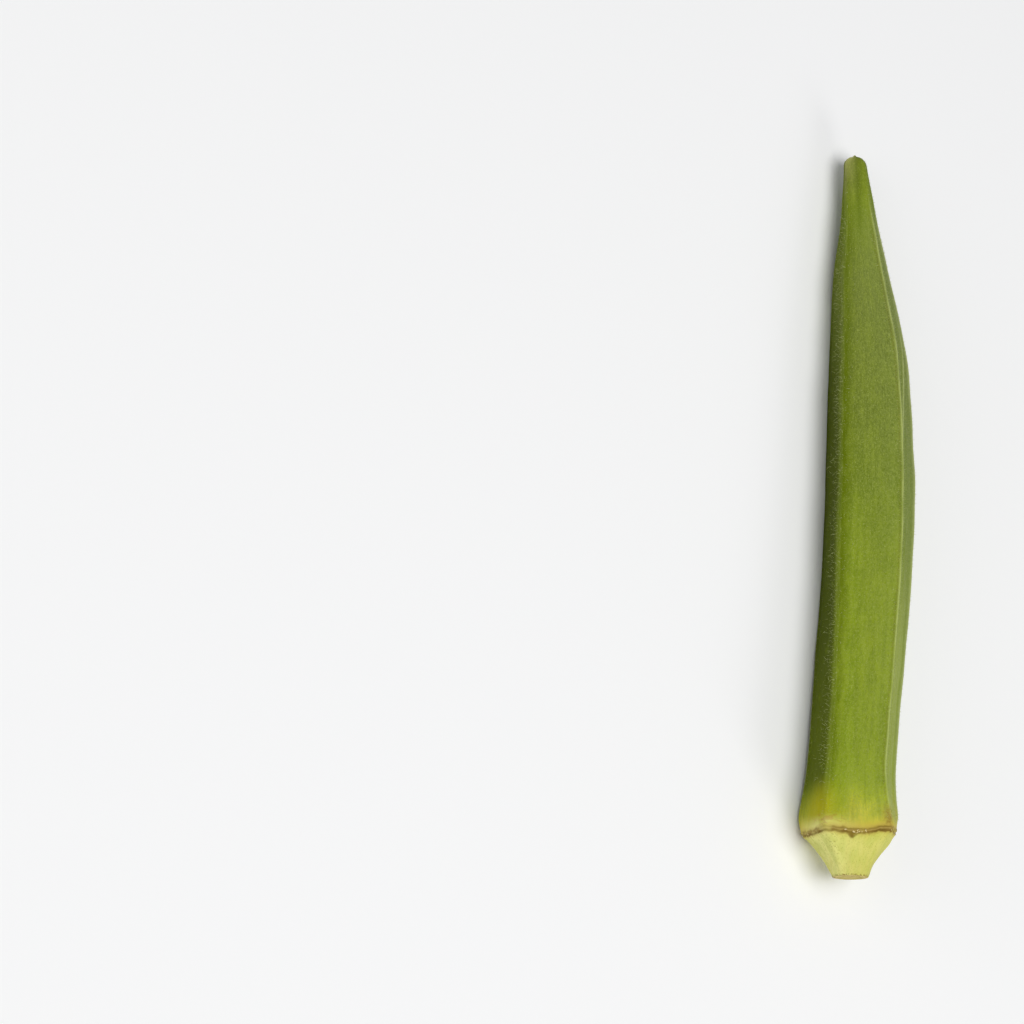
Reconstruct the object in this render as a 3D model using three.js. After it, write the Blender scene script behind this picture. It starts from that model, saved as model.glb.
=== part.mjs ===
// An okra pod as picked: a five-ridged seed pod with a blunt tip, the scar ring that its
// calyx left, the pale cone of its cap and the cut end of its stem, grown as one piece.
//
// Millimetres, +Z up. The pod lies on one of its five faces, with its tip along +Y, and its
// origin is under the middle of its box. Distances run along the pod from its cut end, and
// angles go round it from straight up towards +X.

import * as THREE from 'three';

// ---- Driving dimensions ----

const POD_LENGTH = 126.1;
const TIP_ROUND = 2.1; // the length of the rounded tip
const TIP_BLUNTNESS = 2.5; // 2 would be half of a ball
const NUB_HEIGHT = 0.35; // what is left of the style, on the tip

const SCAR_AT = 7.75; // the scar ring's distance from the cut end
const SCAR_WAVE = 0.22; // how far the ring rises at each ridge and dips between them
const SCAR_TILT = 0.25; // how much lower it is on one side
const SCAR_LOW_SIDE = -126;
const SCAR_REACH = 2.5; // how far along the pod the surface follows the ring's wave
const SCAR_LIP = 0.18; // how far the ring stands proud
const SCAR_THICKNESS = 0.35;
const SCAR_GROOVE = 0.22; // the crease under the ring, where the cap begins

const RIB_HEIGHT = 0.22; // the narrow rib along each ridge
const RIB_HALF_WIDTH = 0.42;
const RIB_RISE = 3; // the ribs rise to their height over this length above the ring
const RIB_SINKS_FROM = 110; // and sink into the tip between these two distances
const RIB_GONE_AT = 122;
const CREASE_DEPTH = 0.2; // the crease down the middle of each face, near the tip
const CREASE_HALF_WIDTH = 0.55;
const CREASE_FROM = 107; // the creases begin here and are at their depth from there on
const CREASE_DEEP_FROM = 119;
const THIN = 0.5; // ribs and creases fade out as the pod narrows from thick to thin
const THICK = 3;

const CAP_FLUTE = 0.03; // the shallow flutes down the cap
const CAP_FLUTES = 11;
const FLUTES_WHOLE_BELOW = SCAR_AT - 3; // the flutes fade out between these two
const FLUTES_GONE_ABOVE = SCAR_AT - 1;
const SHOULDER = { at: 5.4, angle: 70, height: 0.55, length: 1.5, spread: 26 };
const CUT_LEAN = 2.5; // degrees that the cut face leans back
const CUT_LEAN_TOWARDS = -36;

// Each ridge's angle in degrees, at these distances: the ridges wander a little to the base.
const RIDGE_STATIONS = [8, 15, 31, 56];
const RIDGES = [
  [-64, -63, -65, -74],
  [22, 13, 12, 7],
  [73, 72, 72, 76],
  [148, 148, 147, 144],
  [221, 221, 220, 216],
];
const RIDGE_SHARPNESS = 14; // a higher power rounds the ridges less

// Half of the width across the ridges.
const HALF_WIDTH = [
  [0, 3.05],
  [1.6, 3.75],
  [2.9, 4.45],
  [4.6, 5.6],
  [6.2, 6.9],
  [7, 7.7],
  [7.9, 8.1],
  [10.5, 8.2],
  [14, 7.75],
  [19, 7.34],
  [28, 7.3],
  [55, 7.7],
  [69, 7.64],
  [81, 7.22],
  [91, 6.6],
  [101, 5.35],
  [108, 4.25],
  [115, 3.13],
  [121, 2.45],
  [124.2, 2.1],
];

// How round the section is: 0 is five flat faces, 1 is a circle.
const ROUNDNESS = [
  [0, 0.9],
  [4, 0.65],
  [8, 0.25],
  [10, 0.05],
  [20, 0],
  [92, 0],
  [108, 0.2],
  [118, 0.45],
  [126, 0.8],
];

// The middle of the pod: its sideways bow, and its height as it lies.
const BOW = [
  [0, 0.05],
  [9, 0.15],
  [24, 1.4],
  [38, 3],
  [55, 4.7],
  [72, 5.4],
  [90, 5.5],
  [104, 4.6],
  [118, 3.9],
  [126, 3.4],
];
const LIE = [
  [0, 7.9],
  [9, 7.32],
  [24, 7],
  [40, 6.8],
  [55, 6.66],
  [68, 6.5],
  [80, 6.12],
  [92, 5.65],
  [104, 5.2],
  [118, 4.7],
  [126, 4.5],
];

// ---- How finely the surface is divided ----

const STEPS_PER_FACE = 12;
const STRETCHES = [ // from, to and steps, along the pod
  [0, 7.2, 7],
  [7.2, 10, 9],
  [10, 20, 5],
  [20, 104, 26],
  [104, POD_LENGTH - TIP_ROUND, 8],
];
const TIP_STEPS = 6;

// ---- Curves ----

const { degToRad, lerp, smoothstep } = THREE.MathUtils;

// A smooth curve through [distance, value] stations.
function curveThrough(stations) {
  const slopes = stations.map((station, i) => {
    const before = stations[Math.max(i - 1, 0)];
    const after = stations[Math.min(i + 1, stations.length - 1)];
    return (after[1] - before[1]) / (after[0] - before[0]);
  });
  return (distance) => {
    let i = 0;
    while (i < stations.length - 2 && distance > stations[i + 1][0]) i += 1;
    const [start, from] = stations[i];
    const [end, to] = stations[i + 1];
    const span = end - start;
    const t = THREE.MathUtils.clamp((distance - start) / span, 0, 1);
    const left = t * t * (3 - 2 * t);
    const startBend = t * (1 - t) * (1 - t) * span * slopes[i];
    const endBend = t * t * (t - 1) * span * slopes[i + 1];
    return lerp(from, to, left) + startBend + endBend;
  };
}

// A smooth hump, 1 in its middle and fading over the given half width.
const hump = (offset, halfWidth) => Math.exp(-((offset / halfWidth) ** 2));

// The shortest way round from one angle to another.
const turnBetween = (from, to) => Math.atan2(Math.sin(to - from), Math.cos(to - from));

const halfWidthAt = curveThrough(HALF_WIDTH);
const roundnessAt = curveThrough(ROUNDNESS);
const bowAt = curveThrough(BOW);
const lieAt = curveThrough(LIE);

// ---- The section: five faces that meet in rounded ridges ----

const ridgePaths = RIDGES.map((angles) =>
  curveThrough(angles.map((angle, i) => [RIDGE_STATIONS[i], degToRad(angle)])));

// The five faces of the section at a distance, each from one ridge to the next.
function facesAt(distance) {
  const ridges = ridgePaths.map((path) => path(distance));
  return ridges.map((from, i) => {
    const to = i + 1 < ridges.length ? ridges[i + 1] : ridges[0] + 2 * Math.PI;
    return { from, to, middle: (from + to) / 2, apothem: Math.cos((to - from) / 2) };
  });
}

// How far the ridged section reaches at an angle, where its sharp corners would reach 1.
function ridgedReach(faces, angle) {
  let sum = 0;
  for (const face of faces) {
    const facing = Math.cos(angle - face.middle);
    if (facing > 0) sum += (facing / face.apothem) ** RIDGE_SHARPNESS;
  }
  return sum ** (-1 / RIDGE_SHARPNESS);
}
const RIDGED_HALF_WIDTH = 0.915; // half the width of that section across its ridges

// How far an angle is from the nearest of several others.
const nearest = (others, angle) =>
  Math.min(...others.map((other) => Math.abs(turnBetween(other, angle))));

// The radius of the pod's surface, before its small relief.
function plainRadius(faces, distance, angle) {
  const tipStart = POD_LENGTH - TIP_ROUND;
  const intoTip = Math.min(Math.max(distance - tipStart, 0) / TIP_ROUND, 1);
  const narrowing = (1 - intoTip ** TIP_BLUNTNESS) ** (1 / TIP_BLUNTNESS);
  const halfWidth = halfWidthAt(distance) * narrowing;
  return halfWidth * lerp(ridgedReach(faces, angle) / RIDGED_HALF_WIDTH, 1, roundnessAt(distance));
}

// Ribs on the ridges, creases near the tip, the scar's lip and groove, and the cap's flutes.
function relief(faces, distance, angle, radius) {
  const thickness = smoothstep(radius, THIN, THICK);
  const onBody = smoothstep(distance, SCAR_AT, SCAR_AT + RIB_RISE) * thickness;
  const sinking = 1 - smoothstep(distance, RIB_SINKS_FROM, RIB_GONE_AT);
  const fromRidge = radius * nearest(faces.map((face) => face.from), angle);
  const rib = RIB_HEIGHT * hump(fromRidge, RIB_HALF_WIDTH) * onBody * sinking;

  const nearTip = smoothstep(distance, CREASE_FROM, CREASE_DEEP_FROM) * thickness;
  const fromMiddle = radius * nearest(faces.map((face) => face.middle), angle);
  const crease = CREASE_DEPTH * hump(fromMiddle, CREASE_HALF_WIDTH) * nearTip;

  const lip = SCAR_LIP * hump(distance - SCAR_AT, SCAR_THICKNESS);
  const groove = SCAR_GROOVE * hump(distance - SCAR_AT + 2 * SCAR_THICKNESS, SCAR_THICKNESS);

  const onCap = 1 - smoothstep(distance, FLUTES_WHOLE_BELOW, FLUTES_GONE_ABOVE);
  const flute = CAP_FLUTE * Math.cos(CAP_FLUTES * angle) * onCap;
  const round = turnBetween(degToRad(SHOULDER.angle), angle);
  const shoulder = SHOULDER.height * hump(distance - SHOULDER.at, SHOULDER.length)
    * hump(round, degToRad(SHOULDER.spread));
  return rib - crease + lip - groove + flute + shoulder;
}

// A point of the surface. The scar ring waves, the cut face leans, and where the pod would
// sink into what it lies on it is pressed flat.
function surfacePoint(faces, distance, angle) {
  const plain = plainRadius(faces, distance, angle);
  const radius = plain + relief(faces, distance, angle, plain);
  const ridgeWave = Math.cos(faces.length * nearest(faces.map((face) => face.from), angle));
  const tilt = Math.cos(angle - degToRad(SCAR_LOW_SIDE));
  const nearScar = hump(distance - SCAR_AT, SCAR_REACH);
  const scarShift = (SCAR_WAVE * ridgeWave - SCAR_TILT * tilt) * nearScar;
  const leaning = radius * Math.cos(angle - degToRad(CUT_LEAN_TOWARDS));
  const nearCut = 1 - smoothstep(distance, 0, SCAR_AT);
  const cutShift = leaning * Math.tan(degToRad(CUT_LEAN)) * nearCut;
  return new THREE.Vector3(
    bowAt(distance) + radius * Math.sin(angle),
    distance + scarShift + cutShift,
    Math.max(lieAt(distance) + radius * Math.cos(angle), 0),
  );
}

// ---- The closed surface ----

// Angles round the pod, closer together near the ridges.
function anglesRound(faces) {
  const angles = [];
  for (const face of faces) {
    for (let step = 0; step < STEPS_PER_FACE; step += 1) {
      const across = (1 - Math.cos((Math.PI * step) / STEPS_PER_FACE)) / 2;
      angles.push(lerp(face.from, face.to, across));
    }
  }
  return angles;
}

// Distances along the pod, closer together round the scar and into the tip.
function distancesAlong() {
  const distances = [0];
  for (const [from, to, steps] of STRETCHES) {
    for (let step = 1; step <= steps; step += 1) {
      distances.push(lerp(from, to, step / steps));
    }
  }
  for (let step = 1; step < TIP_STEPS; step += 1) {
    const rise = Math.sin((Math.PI / 2) * (step / TIP_STEPS));
    distances.push(POD_LENGTH - TIP_ROUND + TIP_ROUND * rise);
  }
  return distances;
}

// Rings of points from the cut end to the tip, closed by a middle point at each end.
function podGeometry() {
  const distances = distancesAlong();
  const points = [];
  for (const distance of distances) {
    const faces = facesAt(distance);
    for (const angle of anglesRound(faces)) {
      points.push(surfacePoint(faces, distance, angle));
    }
  }
  const round = RIDGES.length * STEPS_PER_FACE;
  const cutMiddle = points.length;
  points.push(new THREE.Vector3(bowAt(0), 0, lieAt(0)));
  const tip = points.length;
  points.push(new THREE.Vector3(bowAt(POD_LENGTH), POD_LENGTH + NUB_HEIGHT, lieAt(POD_LENGTH)));

  const triangles = [];
  const lastRing = (distances.length - 1) * round;
  for (let i = 0; i < round; i += 1) {
    const next = (i + 1) % round;
    triangles.push(cutMiddle, next, i);
    triangles.push(tip, lastRing + i, lastRing + next);
    for (let ring = 0; ring < lastRing; ring += round) {
      triangles.push(ring + i, ring + round + next, ring + round + i);
      triangles.push(ring + i, ring + next, ring + round + next);
    }
  }
  const geometry = new THREE.BufferGeometry().setFromPoints(points);
  geometry.setIndex(triangles);
  return geometry;
}

// ---- The part ----

const skin = new THREE.MeshStandardMaterial({ color: 0x7d8a35, roughness: 0.6, metalness: 0 });

const geometry = podGeometry();
geometry.computeBoundingBox();
const middle = geometry.boundingBox.getCenter(new THREE.Vector3());
geometry.translate(-middle.x, -middle.y, 0);
geometry.computeVertexNormals();

const pod = new THREE.Mesh(geometry, skin);
pod.name = 'okra_pod';

const part = new THREE.Group();
part.add(pod);

export default part;
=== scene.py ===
"""An okra pod as picked, lying on a pale floor under soft studio light.

The pod's form is its solid's form, from the same stations in millimetres. Here it is divided
finely enough for its ribs, its torn scar ring and the cut end of its stem, and then its
hairs and the papery flakes of its scar are added. Distances run along the pod from its cut
end to its tip, and angles go round it from straight up towards +X.
"""
import math

import bpy
import numpy as np
from mathutils import Matrix, Vector


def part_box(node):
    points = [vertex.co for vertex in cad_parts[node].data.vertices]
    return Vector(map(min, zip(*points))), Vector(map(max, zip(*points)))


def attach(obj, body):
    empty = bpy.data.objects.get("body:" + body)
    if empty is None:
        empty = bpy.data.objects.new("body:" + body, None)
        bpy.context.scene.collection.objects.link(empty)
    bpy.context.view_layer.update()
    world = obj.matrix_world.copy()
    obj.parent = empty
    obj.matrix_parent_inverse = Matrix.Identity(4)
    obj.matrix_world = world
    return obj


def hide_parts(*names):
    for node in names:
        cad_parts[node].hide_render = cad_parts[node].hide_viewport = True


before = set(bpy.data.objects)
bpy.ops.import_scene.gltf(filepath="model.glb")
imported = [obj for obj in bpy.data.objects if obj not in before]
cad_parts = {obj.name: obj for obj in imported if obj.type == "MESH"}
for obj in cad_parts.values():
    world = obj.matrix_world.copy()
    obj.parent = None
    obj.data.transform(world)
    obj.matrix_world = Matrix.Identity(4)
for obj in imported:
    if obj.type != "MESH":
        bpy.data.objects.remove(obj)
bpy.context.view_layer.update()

MM = 0.001
TURN = 2 * math.pi

# ---- The pod's form, as its solid has it, in mm and radians ----

POD_LENGTH = 126.1
TIP_ROUND = 2.1  # the length of the rounded tip
TIP_BLUNTNESS = 2.5  # 2 would be half of a ball
NUB_HEIGHT = 0.35  # what is left of the style, on the tip
NUB_HALF_WIDTH = 0.3

SCAR_AT = 7.75  # the scar ring's distance from the cut end
SCAR_WAVE = 0.22  # how far the ring rises at each ridge and dips between them
SCAR_TILT = 0.25  # how much lower it is on one side
SCAR_LOW_SIDE = math.radians(-126)
SCAR_REACH = 2.5  # how far along the pod the surface follows the ring's wave

RIB_HEIGHT = 0.22  # the narrow rib along each ridge
RIB_HALF_WIDTH = 0.42
RIBS_RISE = (SCAR_AT, SCAR_AT + 3)  # the ribs rise and sink over these stretches
RIBS_SINK = (110, 122)
CREASE_DEPTH = 0.2  # the crease down the middle of each face, near the tip
CREASE_HALF_WIDTH = 0.55
CREASES_DEEPEN = (107, 119)
THIN = 0.5  # ribs and creases fade out as the pod's radius goes from thick to thin
THICK = 3

CAP_FLUTE = 0.03  # the shallow flutes down the cap
CAP_FLUTES = 11
FLUTES_FADE = (SCAR_AT - 3, SCAR_AT - 1)
SHOULDER_AT = 5.4  # the shoulder on one side of the cap
SHOULDER_ANGLE = math.radians(70)
SHOULDER_HEIGHT = 0.55
SHOULDER_LENGTH = 1.5
SHOULDER_SPREAD = math.radians(26)
CUT_LEAN = math.radians(2.5)  # how far the cut face leans back
CUT_LEAN_TOWARDS = math.radians(-36)

# Where the ridges' angles are given, and each ridge's angle there, in degrees.
RIDGE_STATIONS = (8, 15, 31, 56)
RIDGES = (
    (-64, -63, -65, -74),
    (22, 13, 12, 7),
    (73, 72, 72, 76),
    (148, 148, 147, 144),
    (221, 221, 220, 216),
)
RIDGE_SHARPNESS = 14  # a higher power rounds the ridges less
RIDGED_HALF_WIDTH = 0.915  # of the rounded section, where its sharp ridges would reach 1

# Each station is a distance from the cut end and the value there: the pod's half width, how
# round it is (from 0, five faces, to 1), how far it bows to +X, and how high its middle lies.
HALF_WIDTH = (
    (0, 3.05), (1.6, 3.75), (2.9, 4.45), (4.6, 5.6), (6.2, 6.9), (7, 7.7), (7.9, 8.1),
    (10.5, 8.2), (14, 7.75), (19, 7.34), (28, 7.3), (55, 7.7), (69, 7.64), (81, 7.22),
    (91, 6.6), (101, 5.35), (108, 4.25), (115, 3.13), (121, 2.45), (124.2, 2.1),
)
ROUNDNESS = (
    (0, 0.9), (4, 0.65), (8, 0.25), (10, 0.05), (20, 0), (92, 0), (108, 0.2), (118, 0.45),
    (126, 0.8),
)
BOW = (
    (0, 0.05), (9, 0.15), (24, 1.4), (38, 3), (55, 4.7), (72, 5.4), (90, 5.5), (104, 4.6),
    (118, 3.9), (126, 3.4),
)
LIE = (
    (0, 7.9), (9, 7.32), (24, 7), (40, 6.8), (55, 6.66), (68, 6.5), (80, 6.12), (92, 5.65),
    (104, 5.2), (118, 4.7), (126, 4.5),
)

# ---- What the solid is too coarse for, in mm ----

CREST_HEIGHT = 0.09  # the sharp crest of each rib
CREST_HALF_WIDTH = 0.19
CREST_SHARES = (0.1, 1, 0.9, 0.7, 0.7)  # how crisp and pale each ridge's crest is
RIB_SHARES = (0.35, 1, 1, 1, 1)  # how much of its rib each ridge has
VALLEY_DEPTH = 0.07  # the shallow hollow on each side of a rib
VALLEY_HALF_WIDTH = 0.5
VALLEY_FROM_RIDGE = 1.1
SECOND_RIB_HEIGHT = 0.18  # a thin rib that forks off the top ridge, down the next face
SECOND_RIB_HALF_WIDTH = 0.38
SECOND_RIB = ((74, 7), (80, 15), (87, 31), (93, 43), (102, 52))  # mm, and degrees round
SECOND_RIB_RISES = (72, 80)
SECOND_RIB_SINKS = (90, 104)
FACE_SWELLING = 0.05  # the faces' slow swellings, and their fine lengthwise grain
FACE_GRAIN = 0.012

LIP_HEIGHT = 0.2  # the scar's torn lip, and the crack under it
LIP_HALF_WIDTH = 0.26
LIP_SHARE = 0.75  # how much of both there is round the pod, and how much that varies
LIP_UNEVENNESS = 0.45
LIP_LEAST = 0.2
LIP_MOST = 1.3
LIP_TURN = 2  # it varies by the torn edge's own coarse waves, turned by this many radians
CRACK_DEPTH = 0.17
CRACK_HALF_WIDTH = 0.16
CRACK_BELOW_LIP = 0.42
LOWER_LIP_HEIGHT = 0.1
LOWER_LIP_HALF_WIDTH = 0.16
LOWER_LIP_BELOW_CRACK = 0.28
TORN_EDGE = 0.045  # how ragged the lip and the crack are
NOTCH_ANGLE = math.radians(-31)  # a nick where the crack runs down into the cap
NOTCH_DEPTH = 0.75
NOTCH_HALF_WIDTH = 0.7
CAP_LUMP = 0.025  # the cap's small lumps

PITH_HOLLOW = 0.16  # the cut face: its pith shrinks, its ring of vessels stands proud
PITH_SHARE = 0.45  # these shares are of the way from the middle of the cut to its rim
PITH_EDGE = 0.1
VESSEL_HEIGHT = 0.1
VESSEL_SHARE = 0.68
VESSEL_HALF_WIDTH = 0.09
CUT_ROUGHNESS = 0.035
CUT_SEED = 11

# ---- How finely the skin is divided ----

STEPS_PER_FACE = 52
RIDGE_CROWDING = 0.55  # how much closer together the steps are by the ridges
STRETCHES = (  # from, to and steps, along the pod
    (0, 0.5, 6),
    (0.5, 6.4, 24),
    (6.4, 9.4, 42),
    (9.4, 20, 32),
    (20, 104, 178),
    (104, POD_LENGTH - TIP_ROUND, 42),
)
TIP_STEPS = 14
NUB_RINGS = (0.14, 0.1, 0.06, 0.03)  # more rings round the nub, as shares of the tip's radius
CUT_STEPS = 12

# ---- Where the skin's colours and hairs lie, in mm ----

SIDE_RIDGE = 0  # which of the ridges a place is measured from, going round
TOP_RIDGE = 1
FAR_RIDGE = 2

# Stripes of colour along a ridge: the ridge, how far past it the middle of the stripe is, its
# half width, and the stretches over which it rises and fades. The first lie just above the
# scar and are measured from it. The others are measured from the cut end.
SCAR_STRIPES = {
    "ripe_side": (SIDE_RIDGE, -2.2, 3.4, (0.2, 0.8), (3, 10)),
    "scorch": (SIDE_RIDGE, -0.6, 3.2, (0.2, 0.6), (1.6, 3.4)),
    "smear": (TOP_RIDGE, -0.3, 0.75, (0.1, 0.5), (2.2, 5)),
}
RIB_STRIPES = {
    "fresh_side": (SIDE_RIDGE, 1.9, 1.7, RIBS_RISE, (50, 70)),
    "fresh_band": (SIDE_RIDGE, 0.35, 0.8, (SCAR_AT + 4, SCAR_AT + 12), RIBS_SINK),
    "brown_edge": (TOP_RIDGE, -0.36, 0.1, RIBS_RISE, RIBS_SINK),
    # painted highlight: a pale stripe along the far ridge
    "pale_side": (FAR_RIDGE, 0, 1, RIBS_RISE, RIBS_SINK),
}
# Colours on one face: the ridge, the stretches past it over which they rise and fade, and
# those along the pod. Where a fade has a third number, that share stays.
FACE_COLOURS = {
    # painted shade: these two darken the face below the side ridge, the second most halfway along
    "deep_side": (SIDE_RIDGE, (-13, -10), (-2, 0), (SCAR_AT, SCAR_AT + 10), (70, 100, 0.55)),
    "dark_side": (SIDE_RIDGE, (-13, -10), (-3, -1), (22, 45), (85, 105)),
    "outer_face": (TOP_RIDGE, (0.3, 0.8), (6, 8), (35, 60), RIBS_SINK),
    "pale_base": (TOP_RIDGE, (0.1, 0.6), (4, 5), RIBS_RISE, (35, 60)),
}
FRESH_BAND_SHARE = 0.65  # the band's strength, and what one place along the pod adds to it
FRESH_BAND_EXTRA = 0.3
FRESH_BAND_BEST_AT = 74
FRESH_BAND_REACH = 25

BODY_RISES = (0, 4)  # the green skin's own grain, above the scar
DRY_EDGE_RISES = (0, 0.3)  # dry skin along the scar, above it
DRY_EDGE_FADES = (0.6, 1.8)
UPPER_HALF = (25, 95)  # over this stretch, the skin gets its whole greyish cast and loses its veins
GREYISH_CAST_BELOW = 0.65  # the share of the greyish cast that it has before
GREYISH_CAST_FADES = (112, 120, 0.3)
GREYISH_CAST_SIDE = math.radians(40)  # the side where the greyish cast is strongest
VEINS_ABOVE = 0.4  # the share of the veins that it has after
TIP_DARKENS = (POD_LENGTH - 9, POD_LENGTH - 3)
TIP_DARK_ALL_ROUND = 0.28
TIP_PAINTED_SHADE_TO_SIDE = 0.74  # how much more painted shade there is on the side of -X, and less on the other
CREST_PALE_HALF_WIDTH = 0.15  # the pale crests of the ribs, which are worn here and there
CREST_PALENESS = 0.9
CREST_WEAR = 0.2
CREST_LEAST_PALENESS = 0.4
# painted shade down the creases near the tip: its half width
CREASE_SHADE_HALF_WIDTH = 0.5

RIPENING_SHIFT = 0.6  # how unevenly the yellow above the scar turns green, and where
RIPENING_AT = SCAR_AT + 4
RIPENING_REACH = 5
CAP_RISES = (0.2, 0.8)  # the cap's own colours, below the lip
# painted light: the cap's side towards -X, which the lamps light least, is lightened
CAP_PAINTED_LIGHT_SIDE = math.radians(-85)
CAP_PAINTED_LIGHT_SPREAD = 0.7  # in radians
CRACK_DARKNESS = 0.4
NOTCH_RISES = (0.1, 0.4)  # the notch's colour, below the lip and then below the crack
NOTCH_FADES = (-0.1, 0.5)
CUT_EDGE_FADES = (0.08, 0.4)  # the browned rim of the cut

HAIRS_OFF_FLOOR = (0.5, 1.5)  # the height above the floor over which hairs begin
RIDGE_HAIR_HALF_WIDTH = 0.6
RIDGE_HAIR_LEAST = 0.2  # on a ridge with no rib
SIDE_HAIR_PAST_RIDGE = -1.9
SIDE_HAIR_HALF_WIDTH = 2
SIDE_HAIR_RISES = (12, 20)
DOWN_RISES = (0.5, 3)  # the faces' down, above the scar
DOWN_THINS = (0, 1, 0.15)  # and how it thins below the side ridge
FLAKES_BELOW_LIP = 0.2  # papery flakes hang in the scar, most of them in one place
FLAKES_HALF_WIDTH = 0.2
FLAKES_ANGLE = math.radians(-23)
FLAKES_SPREAD = math.radians(9)
FEWEST_FLAKES = 0.12

GRAIN_RADIUS = 7.5  # of the straight pod on which the skin's grain is laid out


def curve_through(stations):
    """A smooth cubic curve through (distance, value) stations, for an array of distances."""
    at, value = np.array(stations, dtype=float).T
    index = np.arange(len(at))
    before = np.maximum(index - 1, 0)
    after = np.minimum(index + 1, len(at) - 1)
    slope = (value[after] - value[before]) / (at[after] - at[before])

    def curve(distance):
        i = np.clip(np.searchsorted(at, distance) - 1, 0, len(at) - 2)
        span = at[i + 1] - at[i]
        t = np.clip((distance - at[i]) / span, 0, 1)
        ease = t * t * (3 - 2 * t)
        bend = t * (1 - t) ** 2 * slope[i] - t * t * (1 - t) * slope[i + 1]
        return value[i] * (1 - ease) + value[i + 1] * ease + span * bend

    return curve


def smoothstep(value, low, high):
    """From 0 at one value to 1 at another, easing in and out."""
    t = np.clip((value - low) / (high - low), 0, 1)
    return t * t * (3 - 2 * t)


def rising(place, start, whole, least=0):
    """The least share up to the start, and from there smoothly up to 1 where it is whole."""
    return least + (1 - least) * smoothstep(place, start, whole)


def fading(place, start, gone, left=0):
    """1 up to the start, and from there smoothly down to what is left where it is gone."""
    return 1 - (1 - left) * smoothstep(place, start, gone)


def hump(offset, half_width):
    """A smooth hump, 1 in its middle and fading over the given half width."""
    return np.exp(-((offset / half_width) ** 2))


def turn_between(start, end):
    """The shortest way round from one angle to another."""
    return np.angle(np.exp(1j * (end - start)))


def waves(seed, count, crests, shortest=math.inf):
    """Random smooth waves, about 1 high. They have no more than so many crests round the pod,
    and along it none is shorter than so many mm."""
    rng = np.random.default_rng(seed)
    rounds = rng.integers(-crests, crests + 1, count)
    lengthwise = rng.uniform(-1, 1, count) * TURN / shortest
    phases = rng.uniform(0, TURN, count)

    def height(angle, distance=0):
        total = 0
        for across, along, phase in zip(rounds, lengthwise, phases):
            total = total + np.cos(across * angle + along * distance + phase)
        return total / math.sqrt(count / 2)

    return height


half_width_at = curve_through(HALF_WIDTH)
roundness_at = curve_through(ROUNDNESS)
bow_at = curve_through(BOW)
lie_at = curve_through(LIE)
ridge_paths = [curve_through(list(zip(RIDGE_STATIONS, np.radians(path)))) for path in RIDGES]
second_rib_at = curve_through([(distance, math.radians(angle)) for distance, angle in SECOND_RIB])

swelling = waves(seed=3, count=22, crests=5, shortest=9)
grain = waves(seed=4, count=26, crests=44, shortest=14)
torn = waves(seed=5, count=26, crests=46)
torn_coarsely = waves(seed=6, count=12, crests=9)
cap_lumps = waves(seed=7, count=24, crests=12, shortest=2.6)
rib_wear = waves(seed=8, count=14, crests=3, shortest=5)
uneven_ripening = waves(seed=9, count=10, crests=12)


def ring_places():
    """The distances of the rings from the cut rim, closer together at the scar and the tip."""
    rings = [np.zeros(1)]
    for start, end, steps in STRETCHES:
        rings.append(np.linspace(start, end, steps + 1)[1:])
    rise = np.sin(math.pi / 2 * np.arange(1, TIP_STEPS) / TIP_STEPS)
    rings.append(POD_LENGTH - TIP_ROUND + TIP_ROUND * rise)
    by_nub = (1 - np.array(NUB_RINGS) ** TIP_BLUNTNESS) ** (1 / TIP_BLUNTNESS)
    rings.append(POD_LENGTH - TIP_ROUND + TIP_ROUND * by_nub)
    return np.concatenate(rings)


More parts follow.
